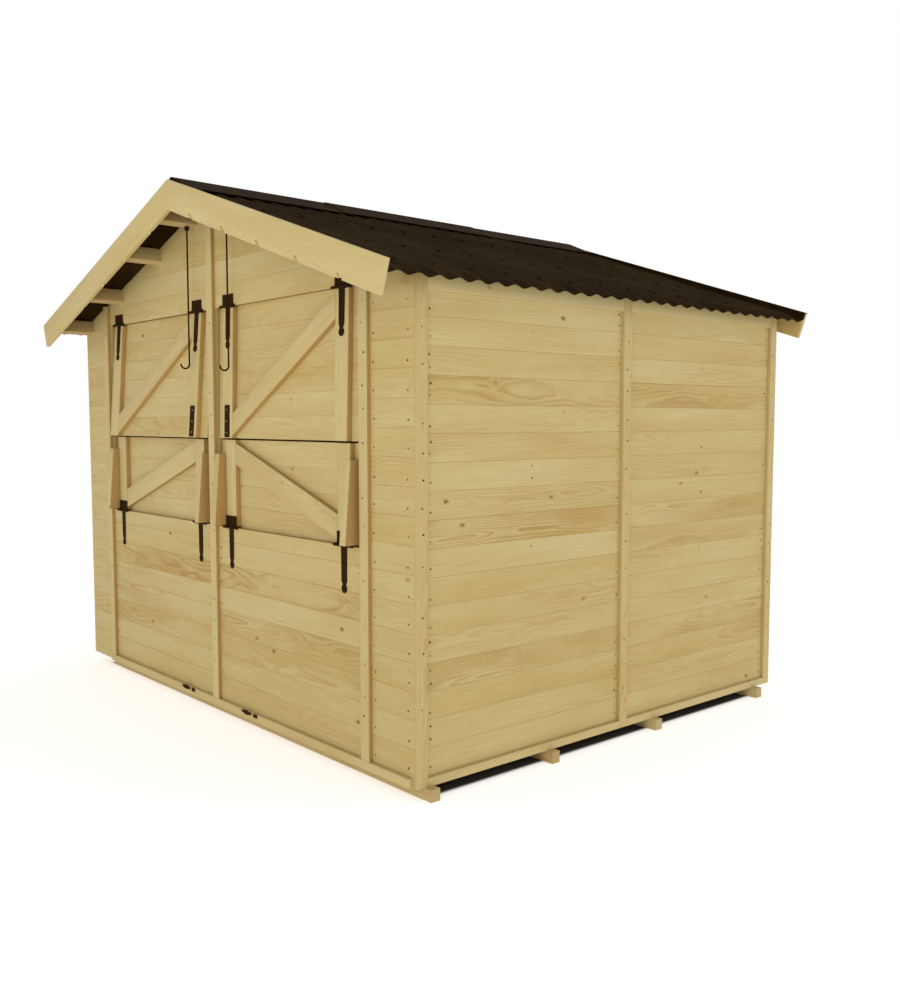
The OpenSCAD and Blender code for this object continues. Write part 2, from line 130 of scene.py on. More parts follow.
def mark(tree, name, output=2):
    n = tree.nodes.new("ShaderNodeAttribute")
    n.attribute_name = name
    return n.outputs[output]


def relieve(tree, skin, height, strength, distance):
    n = tree.nodes.new("ShaderNodeBump")
    n.inputs["Strength"].default_value = strength
    n.inputs["Distance"].default_value = distance
    tree.links.new(height, n.inputs["Height"])
    tree.links.new(n.outputs[0], skin.inputs["Normal"])


# pine: a solid figure that follows each board's own axes

# the sawn colour of each look darkens the edge-marked faces: the sawn wood's own tone and painted shade
pineLooks = {
    "boards": {"pale": (0.605, 0.487, 0.217), "mid": (0.560, 0.431, 0.163), "warm": (0.505, 0.325, 0.092),
               "ring": (0.42, 0.245, 0.070), "knot": (0.19, 0.080, 0.022), "halo": (0.42, 0.235, 0.070),
               "sawn": (0.45, 0.265, 0.08), "ringGap": 0.0085, "knotScale": 6.5, "knotSize": 0.062, "grain": 0.42},
    "trim": {"pale": (0.612, 0.493, 0.230), "mid": (0.578, 0.448, 0.185), "warm": (0.54, 0.385, 0.130),
             "ring": (0.46, 0.30, 0.105), "knot": (0.20, 0.09, 0.03), "halo": (0.40, 0.24, 0.085),
             "sawn": (0.45, 0.265, 0.08), "ringGap": 0.0065, "knotScale": 6.5, "knotSize": 0.05, "grain": 0.45},
    "frame": {"pale": (0.54, 0.42, 0.19), "mid": (0.50, 0.37, 0.155), "warm": (0.46, 0.31, 0.11),
              "ring": (0.38, 0.23, 0.075), "knot": (0.16, 0.07, 0.025), "halo": (0.33, 0.19, 0.06),
              "sawn": (0.40, 0.235, 0.07), "ringGap": 0.0060, "knotScale": 6.5, "knotSize": 0.08, "grain": 0.6},
}
pineFigure = {"seedSpread": 61.0, "knotStretch": 0.62, "knotBend": 3.2, "ringBend": 1.6, "wander": (1.3, 5.0),
              "lean": 0.055, "sway": 0.055, "pith": (0.012, 0.11), "aside": 0.09, "figured": 1.1,
              "fibre": (5.0, 190.0), "cloud": (1.1, 9.0), "rough": (0.56, 0.72), "specular": 0.32,
              "relief": (0.35, 0.0012)}


def pineFinish(name, look):
    finish, tree, skin = startFinish(name)
    seed = mark(tree, "seed")
    place = mark(tree, "timber", 1)
    split = tree.nodes.new("ShaderNodeSeparateXYZ")
    tree.links.new(place, split.inputs[0])
    along, across, depth = split.outputs
    dice = tree.nodes.new("ShaderNodeTexWhiteNoise")
    dice.noise_dimensions = "1D"
    tree.links.new(seed, dice.inputs["W"])
    chance = tree.nodes.new("ShaderNodeSeparateColor")
    tree.links.new(dice.outputs["Color"], chance.inputs[0])
    rollA, rollB, rollC = chance.outputs
    far = calc(tree, "MULTIPLY", seed, pineFigure["seedSpread"])

    # knots: points of a solid cell pattern that lie close to the face
    cell = joined(tree, calc(tree, "ADD", calc(tree, "MULTIPLY", along, pineFigure["knotStretch"]), far), across,
                  calc(tree, "ADD", depth, far))
    spots = tree.nodes.new("ShaderNodeTexVoronoi")
    tree.links.new(cell, spots.inputs["Vector"])
    spots.inputs["Scale"].default_value = look["knotScale"]
    near = spots.outputs["Distance"]
    bend = ramp(tree, near, 0.0, look["knotSize"] * pineFigure["knotBend"], 1.0, 0.0)

    # growth rings about a pith that wanders behind the board
    slow, quick = pineFigure["wander"]
    wander = joined(tree, calc(tree, "ADD", calc(tree, "MULTIPLY", along, slow), far),
                    calc(tree, "MULTIPLY", across, quick), far)
    sway = calc(tree, "SUBTRACT", speckle(tree, wander, 1.6, 2.0, 0.55), 0.5)
    lean = calc(tree, "MULTIPLY", calc(tree, "SUBTRACT", rollA, 0.5), pineFigure["lean"])
    pithDepth = calc(tree, "ADD", calc(tree, "MULTIPLY", along, lean), ramp(tree, rollB, 0.0, 1.0, *pineFigure["pith"]))
    pithDepth = calc(tree, "ADD", pithDepth, calc(tree, "MULTIPLY", sway, pineFigure["sway"]))
    down = calc(tree, "ADD", depth, pithDepth)
    over = calc(tree, "ADD", across, calc(tree, "MULTIPLY", calc(tree, "SUBTRACT", rollC, 0.5), pineFigure["aside"]))
    radius = calc(tree, "SQRT", calc(tree, "ADD", calc(tree, "MULTIPLY", down, down),
                                     calc(tree, "MULTIPLY", over, over)))
    count = calc(tree, "ADD", calc(tree, "DIVIDE", radius, look["ringGap"]),
                 calc(tree, "MULTIPLY", bend, pineFigure["ringBend"]))
    phase = calc(tree, "FRACT", count)
    late = calc(tree, "MULTIPLY", ramp(tree, phase, 0.25, 0.88), ramp(tree, phase, 0.93, 1.0, 1.0, 0.0))
    figure = mark(tree, "figure")
    strong = calc(tree, "ADD", look["grain"], calc(tree, "MULTIPLY", figure, pineFigure["figured"]))
    patchy = ramp(tree, speckle(tree, wander, 0.9, 2.0), 0.36, 0.66, 0.12, 1.0)
    late = calc(tree, "MULTIPLY", calc(tree, "MULTIPLY", late, strong), patchy)

    # fibres, and slow changes of tone along and between boards
    slow, quick = pineFigure["fibre"]
    fine = joined(tree, calc(tree, "ADD", calc(tree, "MULTIPLY", along, slow), far),
                  calc(tree, "MULTIPLY", across, quick), calc(tree, "MULTIPLY", depth, quick))
    fibre = speckle(tree, fine, 1.0, 3.0, 0.6)
    slow, quick = pineFigure["cloud"]
    broad = joined(tree, calc(tree, "ADD", calc(tree, "MULTIPLY", along, slow), far),
                   calc(tree, "MULTIPLY", across, quick), calc(tree, "ADD", calc(tree, "MULTIPLY", depth, quick), far))
    cloud = speckle(tree, broad, 1.0, 3.0, 0.55)
    tone = calc(tree, "ADD", calc(tree, "MULTIPLY", rollB, 0.24), cloud)
    body = tint(tree, ramp(tree, tone, 0.38, 0.78), look["pale"], look["mid"])
    body = tint(tree, calc(tree, "MULTIPLY", ramp(tree, tone, 0.70, 1.0), 0.7), body, look["warm"])
    stain = calc(tree, "MULTIPLY", figure, ramp(tree, speckle(tree, wander, 1.3, 3.0, 0.6), 0.42, 0.62))
    body = tint(tree, calc(tree, "MULTIPLY", stain, 0.95, clamp=True), body, look["warm"])
    body = tint(tree, calc(tree, "MULTIPLY", late, 0.68, clamp=True), body, look["ring"])
    body = tint(tree, ramp(tree, fibre, 0.35, 0.75, 0.0, 0.16), body, look["ring"])
    knot = look["knotSize"]
    halo = calc(tree, "MULTIPLY", ramp(tree, near, knot * 0.7, knot * 1.5, 1.0, 0.0), 0.8)
    body = tint(tree, halo, body, look["halo"])
    body = tint(tree, ramp(tree, near, knot * 0.35, knot * 0.75, 0.92, 0.0), body, look["knot"])
    # painted shade in the V-joints: the groove faces are darkened by a random amount per board
    jointShade = calc(tree, "MULTIPLY", mark(tree, "joint"), ramp(tree, rollC, 0.1, 0.9, 0.10, 0.55))
    body = tint(tree, jointShade, body, look["halo"])
    # painted shade: the faces with the edge mark are darkened orange-brown. These are the sides of the front battens,
    # trims and wedges and the notch walls of the bargeboards; on the sides this is partly the sawn wood's own colour
    body = tint(tree, calc(tree, "MULTIPLY", mark(tree, "edge"), 0.9), body, look["sawn"])
    tree.links.new(body, skin.inputs["Base Color"])

    tree.links.new(ramp(tree, fibre, 0.2, 0.8, *pineFigure["rough"]), skin.inputs["Roughness"])
    skin.inputs["Specular IOR Level"].default_value = pineFigure["specular"]
    height = calc(tree, "ADD", calc(tree, "MULTIPLY", fibre, 0.5), calc(tree, "MULTIPLY", late, -0.35))
    height = calc(tree, "ADD", height, calc(tree, "MULTIPLY", bend, 0.4))
    relieve(tree, skin, height, *pineFigure["relief"])
    return finish


pineBoards = pineFinish("pineBoards", pineLooks["boards"])
pineTrim = pineFinish("pineTrim", pineLooks["trim"])
pineBarge = pineFinish("pineBarge", {**pineLooks["trim"], "sawn": (0.24, 0.125, 0.038)})  # painted shadow in the notches
frameTimber = pineFinish("frameTimber", pineLooks["frame"])


# black iron, steel heads, bitumen

ironLook = {"dark": (0.026, 0.0105, 0.0015), "rubbed": (0.040, 0.018, 0.005), "rough": (0.55, 0.72),
            "blotch": 38.0, "grit": 900.0, "specular": 0.03, "relief": (0.25, 0.0006)}


def ironFinish():
    finish, tree, skin = startFinish("blackIron")
    spot = tree.nodes.new("ShaderNodeTexCoord").outputs["Object"]
    blotch = speckle(tree, spot, ironLook["blotch"], 4.0, 0.6)
    grit = speckle(tree, spot, ironLook["grit"], 2.0, 0.6)
    tree.links.new(tint(tree, ramp(tree, blotch, 0.45, 0.75), ironLook["dark"], ironLook["rubbed"]),
                   skin.inputs["Base Color"])
    tree.links.new(ramp(tree, blotch, 0.3, 0.7, *ironLook["rough"]), skin.inputs["Roughness"])
    skin.inputs["Metallic"].default_value = 0.0
    skin.inputs["Specular IOR Level"].default_value = ironLook["specular"]
    relieve(tree, skin, grit, *ironLook["relief"])
    return finish


steelLook = {"bright": (0.48, 0.45, 0.40), "dull": (0.060, 0.036, 0.020), "rust": 55.0, "rough": (0.32, 0.75),
             "metal": 0.8, "specular": 0.3}


def steelFinish(name, shine):
    finish, tree, skin = startFinish(name)
    spot = tree.nodes.new("ShaderNodeTexCoord").outputs["Object"]
    rust = ramp(tree, speckle(tree, spot, steelLook["rust"], 3.0, 0.6), 0.35, 0.65, 0.85 * (1.0 - shine), 1.0 - shine)
    tree.links.new(tint(tree, rust, steelLook["bright"], steelLook["dull"]), skin.inputs["Base Color"])
    tree.links.new(ramp(tree, rust, 0.0, 1.0, *steelLook["rough"]), skin.inputs["Roughness"])
    skin.inputs["Metallic"].default_value = steelLook["metal"] * shine
    skin.inputs["Specular IOR Level"].default_value = steelLook["specular"] * shine
    return finish


sheetLook = {"dark": (0.016, 0.0072, 0.0008), "dusty": (0.033, 0.0185, 0.0045), "grit": 700.0, "fleck": 160.0,
             "wash": 3.2, "rough": (0.62, 0.82), "specular": 0.015, "relief": (0.5, 0.0015)}


def bitumenFinish():
    finish, tree, skin = startFinish("bitumenSheet")
    spot = tree.nodes.new("ShaderNodeTexCoord").outputs["Object"]
    grit = speckle(tree, spot, sheetLook["grit"], 3.0, 0.7)
    fleck = speckle(tree, spot, sheetLook["fleck"], 4.0, 0.65)
    wash = speckle(tree, spot, sheetLook["wash"], 4.0, 0.6)
    shade = calc(tree, "ADD", calc(tree, "MULTIPLY", wash, 0.6), calc(tree, "MULTIPLY", fleck, 0.4))
    tree.links.new(tint(tree, ramp(tree, shade, 0.38, 0.66), sheetLook["dark"], sheetLook["dusty"]),
                   skin.inputs["Base Color"])
    tree.links.new(ramp(tree, fleck, 0.3, 0.7, *sheetLook["rough"]), skin.inputs["Roughness"])
    skin.inputs["Specular IOR Level"].default_value = sheetLook["specular"]
    relieve(tree, skin, calc(tree, "ADD", grit, calc(tree, "MULTIPLY", fleck, 1.5)), *sheetLook["relief"])
    return finish


blackIron = ironFinish()
nailSteel = steelFinish("nailSteel", 0.0)
screwSteel = steelFinish("screwSteel", 0.75)
bitumenSheet = bitumenFinish()
print("finishes made")


# timber helpers: each board keeps its own axes and seed

smoothUnder = {"timber": 20, "sheet": 32, "iron": 40}
cutFaces = {"square": 0.9, "least": 4e-5, "side": 0.6}
sharpOver = 0.5  # radians
grainUp = Vector((0.31, 0.17, 1))  # square to no timber, so that each one has a first end


def openCopy(node):  # a CAD node's mesh, merged, with its flat faces whole
    bm = bmesh.new()
    bm.from_mesh(nodes[node].data)
    bmesh.ops.remove_doubles(bm, verts=bm.verts, dist=1e-5)
    bmesh.ops.dissolve_limit(bm, angle_limit=0.01, verts=bm.verts, edges=bm.edges)
    return bm


def islands(bm):  # sorted by place, so that each run draws alike
    found, groups = set(), []
    for start in bm.verts:
        if start in found:
            continue
        found.add(start)
        group, todo = [], [start]
        while todo:
            v = todo.pop()
            group.append(v)
            for e in v.link_edges:
                o = e.other_vert(v)
                if o not in found:
                    found.add(o)
                    todo.append(o)
        groups.append(group)
    return sorted(groups, key=lambda g: min(tuple(round(c, 4) for c in v.co) for v in g))


def lift(bm, group):  # one island as a mesh of its own
    part = bmesh.new()
    made = {v: part.verts.new(v.co) for v in group}
    for f in dict.fromkeys(f for v in group for f in v.link_faces):
        part.faces.new([made[v] for v in f.verts])
    part.normal_update()
    return part


def ownAxes(part):  # along the longest edge, depth square to the broadest face
    longest = max(part.edges, key=lambda e: e.calc_length())
    along = (longest.verts[1].co - longest.verts[0].co).normalized()
    if along.dot(grainUp) < 0:
        along.negate()
    broad = max((f for f in part.faces if abs(f.normal.dot(along)) < 0.3), key=lambda f: f.calc_area())
    depth = (broad.normal - along * broad.normal.dot(along)).normalized()
    return along, depth.cross(along), depth


def emptyStack():
    return {"verts": [], "faces": [], "timber": [], "seed": [], "figure": [], "joint": [], "edge": []}


def stackBoard(stack, part, axes, seed, figure=0.0, sawnShadedSides=False, gouged=False):
    along, across, depth = axes
    centre = sum((v.co for v in part.verts), Vector()) / len(part.verts)
    first = len(stack["verts"])
    part.verts.index_update()
    groove = part.faces.layers.int.get("groove")
    for v in part.verts:
        d = v.co - centre
        stack["verts"].append(tuple(v.co))
        stack["timber"] += [d.dot(along), d.dot(across), d.dot(depth)]
    stack["seed"] += [seed] * len(part.verts)
    stack["figure"] += [figure] * len(part.verts)
    for f in part.faces:
        stack["faces"].append([v.index + first for v in f.verts])
        stack["joint"].append(float(f[groove]) if groove else 0.0)
        square = max(abs(f.normal.dot(a)) for a in axes)
        # the edge mark, on notch walls and on the sides of the listed pieces, carries the sawn colour and painted shade
        cutIn = gouged and square < cutFaces["square"] and f.calc_area() > cutFaces["least"]
        stack["edge"].append(1.0 if cutIn or sawnShadedSides and abs(f.normal.y) < cutFaces["side"] else 0.0)


def smoothByAngle(mesh, degrees):
    bm = bmesh.new()
    bm.from_mesh(mesh)
    for f in bm.faces:
        f.smooth = True
    for e in bm.edges:
        e.smooth = len(e.link_faces) == 2 and e.calc_face_angle(0) < math.radians(degrees)
    bm.to_mesh(mesh)
    bm.free()


def placePiece(name, mesh, finish, body, slot, replaced=()):
    if finish:
        mesh.materials.clear()
        mesh.materials.append(finish)
    piece = bpy.data.objects.new(name, mesh)
    bpy.context.scene.collection.objects.link(piece)
    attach(piece, body)
    if replaced:
        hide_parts(*replaced)


def stackPiece(name, stack, finish, body, slot, replaced=()):
    mesh = bpy.data.meshes.new(name)
    mesh.from_pydata(stack["verts"], [], stack["faces"])
    for key, kind, domain in (("timber", "FLOAT_VECTOR", "POINT"), ("seed", "FLOAT", "POINT"),
                              ("figure", "FLOAT", "POINT"), ("joint", "FLOAT", "FACE"),
                              ("edge", "FLOAT", "FACE")):
        field = mesh.attributes.new(key, kind, domain)
        field.data.foreach_set("vector" if key == "timber" else "value", stack[key])
    mesh.validate()
    smoothByAngle(mesh, smoothUnder["timber"])
    placePiece(name, mesh, finish, body, slot, replaced)


def softenEdges(part, width, steps=2):
    sharp = [e for e in part.edges if len(e.link_faces) == 2 and e.calc_face_angle(0) > sharpOver]
    bmesh.ops.bevel(part, geom=sharp, offset=width, segments=steps, profile=0.6, affect="EDGES", clamp_overlap=True)


# planed and sawn timbers

timberLook = {
    "pine_trim": {"finish": pineTrim, "edge": 0.0016},
    "frame_timber": {"finish": frameTimber, "edge": 0.0022},
}
timberFigures = (0, 0, 0, 0.4)
trimNodes = ["front_left_bargeboard", "front_right_bargeboard", "rear_left_bargeboard", "rear_right_bargeboard",
             "front_trims", "side_trims", "sill_batten", "side_skirts",
             "left_shutter_battens", "right_shutter_battens", "left_counter_battens", "right_counter_battens",
             "left_counter_wedges", "right_counter_wedges"]
# pieces whose side faces are darkened orange-brown: sawn colour and painted shade
sawnShadedNodes = ["front_trims", "left_shutter_battens", "right_shutter_battens", "left_counter_battens",
             "right_counter_battens", "left_counter_wedges", "right_counter_wedges"]
frameNodes = ["bearers", "front_posts", "front_rails", "rear_posts", "side_studs", "side_plates",
              "left_rafters", "right_rafters", "purlins"]


def dressTimber(node, slot):
    look = timberLook[slot]
    whole = openCopy(node)
    stack = emptyStack()
    dice = random.Random(node)
    for group in islands(whole):
        part = lift(whole, group)
        axes = ownAxes(part)
        softenEdges(part, look["edge"])
        stackBoard(stack, part, axes, dice.random(), dice.choice(timberFigures), node in sawnShadedNodes,
                   node.endswith("bargeboard"))
        part.free()
    whole.free()
    finish = pineBarge if node.endswith("bargeboard") else look["finish"]
    stackPiece("dressed_" + node, stack, finish, bodyOf[node], slot, [node])


for node in trimNodes:
    dressTimber(node, "pine_trim")

eaveBatten = {"foot": 1.912, "top": 1.978, "thick": 0.015}


def eaveBattens():  # a thin batten along the top of each side wall panel, over the skirts
    stack = emptyStack()
    dice = random.Random("eaves")
    skirts = openCopy("side_skirts")
    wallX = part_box("right_wall")[1].x
    for group in islands(skirts):
        ys = [v.co.y for v in group]
        side = 1 if group[0].co.x > 0 else -1
        thick = eaveBatten["thick"]
        low = Vector((min(side * wallX, side * (wallX + thick)), min(ys), eaveBatten["foot"]))
        size = Vector((thick, max(ys) - min(ys), eaveBatten["top"] - eaveBatten["foot"]))
        part = bmesh.new()
        for v in bmesh.ops.create_cube(part, size=1.0)["verts"]:
            v.co = low + Vector(b * (a + 0.5) for a, b in zip(v.co, size))
        part.normal_update()
        axes = ownAxes(part)
        softenEdges(part, timberLook["pine_trim"]["edge"])
        stackBoard(stack, part, axes, dice.random())
        part.free()
    skirts.free()
    stackPiece("eaveBattens", stack, pineTrim, "hut", "pine_trim")


eaveBattens()
for node in frameNodes:
    dressTimber(node, "frame_timber")
print("timbers dressed:", len(trimNodes) + len(frameNodes))


# boarded walls: matched boards with a V along each joint

def ajar(body):  # how far a shutter hangs open at rest
    return next(-math.radians(j["range_deg"][0]) for j in frame["joints"] if j["child"] == body)


def pinOf(body):
    return Vector(next(j["pos_m"] for j in frame["joints"] if j["child"] == body))


boardRules = {
    "side": {"first": 0.086, "pitch": 0.1084, "vee": 0.0011},
    "front": {"first": 0.090, "pitch": 0.1100, "vee": 0.0011},
    "leaf": {"first": 0.0, "pitch": 0.1010, "vee": 0.0011},
    "floor": {"first": 0.0, "pitch": 0.1210, "vee": 0.0016},
}
boardLimits = {"leastTop": 0.02, "leastFoot": 0.012, "backVee": 0.001, "facing": 0.9, "touch": 1e-4}
boardFigures = (0, 0, 0, 0.25)


def trimmed(part, point, normal, keepAbove):
    bmesh.ops.bisect_plane(part, geom=part.verts[:] + part.edges[:] + part.faces[:], dist=1e-6,
                           plane_co=point, plane_no=normal, clear_inner=keepAbove, clear_outer=not keepAbove)
    rim = [e for e in part.edges if e.is_boundary]
    if rim:
        bmesh.ops.holes_fill(part, edges=rim)


def veeJoints(board, up, outward, levels, origin, vee):  # bevels the lips that lie on a joint between courses
    board.faces.layers.int.new("groove")
    facing, touch = boardLimits["facing"], boardLimits["touch"]
    for edge, wide in ((outward, vee), (-outward, boardLimits["backVee"])):
        lip = [e for e in board.edges if len(e.link_faces) == 2
               and any(f.normal.dot(edge) > facing for f in e.link_faces)
               and any(abs(f.normal.dot(up)) > facing for f in e.link_faces)
               and all(min(abs((v.co - origin).dot(up) - z) for z in levels) < touch for v in e.verts)]
        if lip:
            made = bmesh.ops.bevel(board, geom=lip, offset=wide, segments=1, affect="EDGES", clamp_overlap=True)
            groove = board.faces.layers.int["groove"]
            for f in made["faces"]:
                f[groove] = 1


def boardUp(node, rule, outward, up=Vector((0, 0, 1)), origin=Vector(), breaks=(), finish=None, figured=None):
    law = boardRules[rule]
    whole = openCopy(node)
    heights = [(v.co - origin).dot(up) for v in whole.verts]
    low, high = min(heights), max(heights)
    cuts = [low]
    step = law["first"] if rule in ("side", "front") else low + law["pitch"]
    while step < high - boardLimits["leastTop"]:
        if step > low + boardLimits["leastFoot"]:
            cuts.append(step)
        step += law["pitch"]
    cuts.append(high)
    along = up.cross(outward)
    spans = [(v.co - origin).dot(along) for v in whole.verts]
    ends = [min(spans), *breaks, max(spans)]
    stack = emptyStack()
    dice = random.Random(node)
    for row, (bottom, top) in enumerate(zip(cuts, cuts[1:])):
        course = whole.copy()
        if bottom > low:
            trimmed(course, origin + up * bottom, up, True)
        if top < high:
            trimmed(course, origin + up * top, up, False)
        for part0, part1 in zip(ends, ends[1:]):
            length = course.copy()
            if part0 > ends[0]:
                trimmed(length, origin + along * part0, along, True)
            if part1 < ends[-1]:
                trimmed(length, origin + along * part1, along, False)
            for group in islands(length):
                board = lift(length, group)
                veeJoints(board, up, outward, (bottom, top), origin, law["vee"])
                wanted = (figured or {}).get(row, 0.0)
                stackBoard(stack, board, (along, up, outward), dice.random(), wanted or dice.choice(boardFigures))
                board.free()
            length.free()
        course.free()
    whole.free()
    slot = "frame_timber" if rule == "floor" else "pine_boards"
    stackPiece("boarded_" + node, stack, finish or pineBoards, bodyOf[node], slot, [node])


east, west = Vector((1, 0, 0)), Vector((-1, 0, 0))
south, north, sky = Vector((0, -1, 0)), Vector((0, 1, 0)), Vector((0, 0, 1))
midTrim = (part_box("side_trims")[0].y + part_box("side_trims")[1].y) / 2
boardUp("right_wall", "side", east, breaks=[midTrim], figured={9: 0.8, 4: 0.6, 14: 0.5})
boardUp("left_wall", "side", west, breaks=[-midTrim])
boardUp("front_returns", "front", south)
boardUp("front_gable", "front", south)
boardUp("front_lower_wall", "front", south, breaks=[0.0], figured={6: 1.0, 4: 0.6, 3: 0.5})
boardUp("rear_wall", "front", north)
boardUp("rear_gable", "front", north)
boardUp("rear_door", "leaf", north)
boardUp("floor_deck", "floor", sky, up=north, finish=frameTimber)
for side in ("left", "right"):
    lean = ajar(side + "_shutter")
    boardUp(side + "_shutter_panel", "leaf", Vector((0, -math.cos(lean), math.sin(lean))),
            up=Vector((0, math.sin(lean), math.cos(lean))), origin=pinOf(side + "_shutter"))
    boardUp(side + "_counter_panel", "leaf", south)
print("walls boarded")


# irons

ironEdge = 0.0007
ironNodes = [n for n in nodes if n.endswith("irons") or "hook" in n]


def dressIron(node):
    bm = openCopy(node)
    softenEdges(bm, ironEdge, 1)
    mesh = bpy.data.meshes.new("forged_" + node)
    bm.to_mesh(mesh)
    bm.free()
    smoothByAngle(mesh, smoothUnder["iron"])
    placePiece("forged_" + node, mesh, blackIron, bodyOf[node], "black_iron", [node])


for node in ironNodes:
    dressIron(node)

sillIrons = {"spans": ((-0.350, -0.215), (0.256, 0.396)), "foot": 0.070, "thick": 0.004, "hump": 0.0015,
             "pieces": ((0.0, 0.60, 0.004, 0.012), (0.16, 0.42, 0.0, 0.020), (0.74, 0.97, 0.0, 0.017))}


def flatIrons():  # two small irons, a tongue and its keep, on the face of the sill batten
    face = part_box("sill_batten")[0].y
    bm = bmesh.new()
    for x0, x1 in sillIrons["spans"]:
        for i, (start, stop, up, height) in enumerate(sillIrons["pieces"]):
            made = bmesh.ops.create_cube(bm, size=1.0)
            thick = sillIrons["thick"] + sillIrons["hump"] * (i == 1)
            size = Vector(((stop - start) * (x1 - x0), thick, height))
            middle = Vector((x0 + (start + stop) / 2 * (x1 - x0), face - thick / 2,
                             sillIrons["foot"] + up + height / 2))
            for v in made["verts"]:
                v.co = middle + Vector(a * b for a, b in zip(v.co, size))
    softenEdges(bm, ironEdge, 1)
    mesh = bpy.data.meshes.new("sillIrons")
    bm.to_mesh(mesh)
    bm.free()
    placePiece("sillIrons", mesh, blackIron, "hut", "black_iron")


flatIrons()
print("irons dressed:", len(ironNodes))


# roof

roofLook = {"pitch": math.radians(18.5), "flatter": 0.46, "flatFrom": 0.25, "flatTo": 1.15,
            "flatCuts": [0.35, 0.55, 0.75, 0.95, 1.15], "sagFrom": 1.60, "sag": 0.014, "sagCuts": 4,
            "nailRuns": (0.600, 1.104, 1.545), "lapOut": 0.002, "lapThick": 0.002, "lapDrop": 0.036,
            "lapClear": (0.0002, 0.0004), "lapStart": 0.004}


def slopeAxes(sign):
    c, d = math.cos(roofLook["pitch"]), math.sin(roofLook["pitch"])
    return Vector((sign * c, 0, -d)), Vector((sign * d, 0, c))


def settled(point, sign, ridge, reach):  # lower waves down the slope, and a slight sag past the last purlin
    down, out = slopeAxes(sign)
    run, height = point.dot(down) - ridge.dot(down), (point - ridge).dot(out)
    t = min(max((run - roofLook["flatFrom"]) / (roofLook["flatTo"] - roofLook["flatFrom"]), 0), 1)
    lost = height * roofLook["flatter"] * t * t * (3 - 2 * t)
    past = max(run - roofLook["sagFrom"], 0) / (reach - roofLook["sagFrom"])
    return point - out * (lost + roofLook["sag"] * past * past)


def ridgeAndReach(node, sign):  # the top of the plane under the sheets, and how far they run down it
    down, out = slopeAxes(sign)
    base = min(v.co.dot(out) for v in nodes[node].data.vertices)
    ridge = Vector((0, 0, base / out.z))
    return ridge, max((v.co - ridge).dot(down) for v in nodes[node].data.vertices)


def dressRoof(node):
    bm = openCopy(node)
    if node.endswith("sheets"):
        sign = 1 if node.startswith("right") else -1
        ridge, reach = ridgeAndReach(node, sign)
        down = slopeAxes(sign)[0]
        sagStops = [roofLook["sagFrom"] + (reach - roofLook["sagFrom"]) * i / roofLook["sagCuts"]
                    for i in range(roofLook["sagCuts"])]
        for stop in roofLook["flatCuts"] + sagStops:
            bmesh.ops.bisect_plane(bm, geom=bm.verts[:] + bm.edges[:] + bm.faces[:], dist=1e-6,
                                   plane_co=ridge + down * stop, plane_no=down)
        for v in bm.verts:
            v.co = settled(v.co.copy(), sign, ridge, reach)
        bmesh.ops.triangulate(bm, faces=[f for f in bm.faces if len(f.verts) > 4])
    mesh = bpy.data.meshes.new("laid_" + node)
    bm.to_mesh(mesh)
    bm.free()
    smoothByAngle(mesh, smoothUnder["sheet"])
    placePiece("laid_" + node, mesh, bitumenSheet, bodyOf[node], "bitumen_sheet", [node])


def rearLap():  # the edge of the sheets turned up and over the rear bargeboards
    bm = bmesh.new()
    thick = roofLook["lapThick"]
    over, beside = roofLook["lapClear"]
    for side, sign in (("left", -1), ("right", 1)):
        down, out = slopeAxes(sign)
        low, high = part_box("rear_" + side + "_bargeboard")
        board = [v.co for v in nodes["rear_" + side + "_bargeboard"].data.vertices]
        top = max(c.dot(out) for c in board) + over
        runs = [c.dot(down) for c in board if c.dot(out) > top - 0.001]
        inner, outer, foot = low.y - beside, high.y + roofLook["lapOut"], top - roofLook["lapDrop"]
        outline = ((inner, foot), (inner, top), (outer, top), (outer, top + thick),
                   (inner - thick, top + thick), (inner - thick, foot))
        ends = [[bm.verts.new(down * run + out * up + Vector((0, y, 0))) for y, up in outline]
                for run in (min(runs) + roofLook["lapStart"], max(runs) + thick)]
        bm.faces.new(ends[0])
        bm.faces.new(ends[1])
        for i in range(len(outline)):
            j = (i + 1) % len(outline)
            bm.faces.new((ends[0][i], ends[0][j], ends[1][j], ends[1][i]))
    bmesh.ops.triangulate(bm, faces=[f for f in bm.faces if len(f.verts) > 4])
    bmesh.ops.recalc_face_normals(bm, faces=bm.faces)
    mesh = bpy.data.meshes.new("rearLap")
    bm.to_mesh(mesh)
    bm.free()
    placePiece("rearLap", mesh, bitumenSheet, "hut", "bitumen_sheet")


for node in ("left_roof_sheets", "right_roof_sheets", "ridge_cap"):
    dressRoof(node)
rearLap()
print("roof laid")


# nails, bolts and screws: one set of points per kind and body, headed by Geometry Nodes

headKinds = {
    "nail": {"finish": nailSteel, "slot": "black_iron", "radius": 0.0040, "rise": 0.0009, "uneven": 0.25},
    "screw": {"finish": screwSteel, "slot": "black_iron", "radius": 0.0040, "rise": 0.0014, "uneven": 0.08},
    "bolt": {"finish": blackIron, "slot": "black_iron", "radius": 0.0050, "rise": 0.0020, "uneven": 0.05},
    "cap": {"finish": bitumenSheet, "slot": "bitumen_sheet", "radius": 0.0120, "rise": 0.0060, "uneven": 0.06},
}


headShape = {"segments": 10, "rings": 5, "seed": 7}


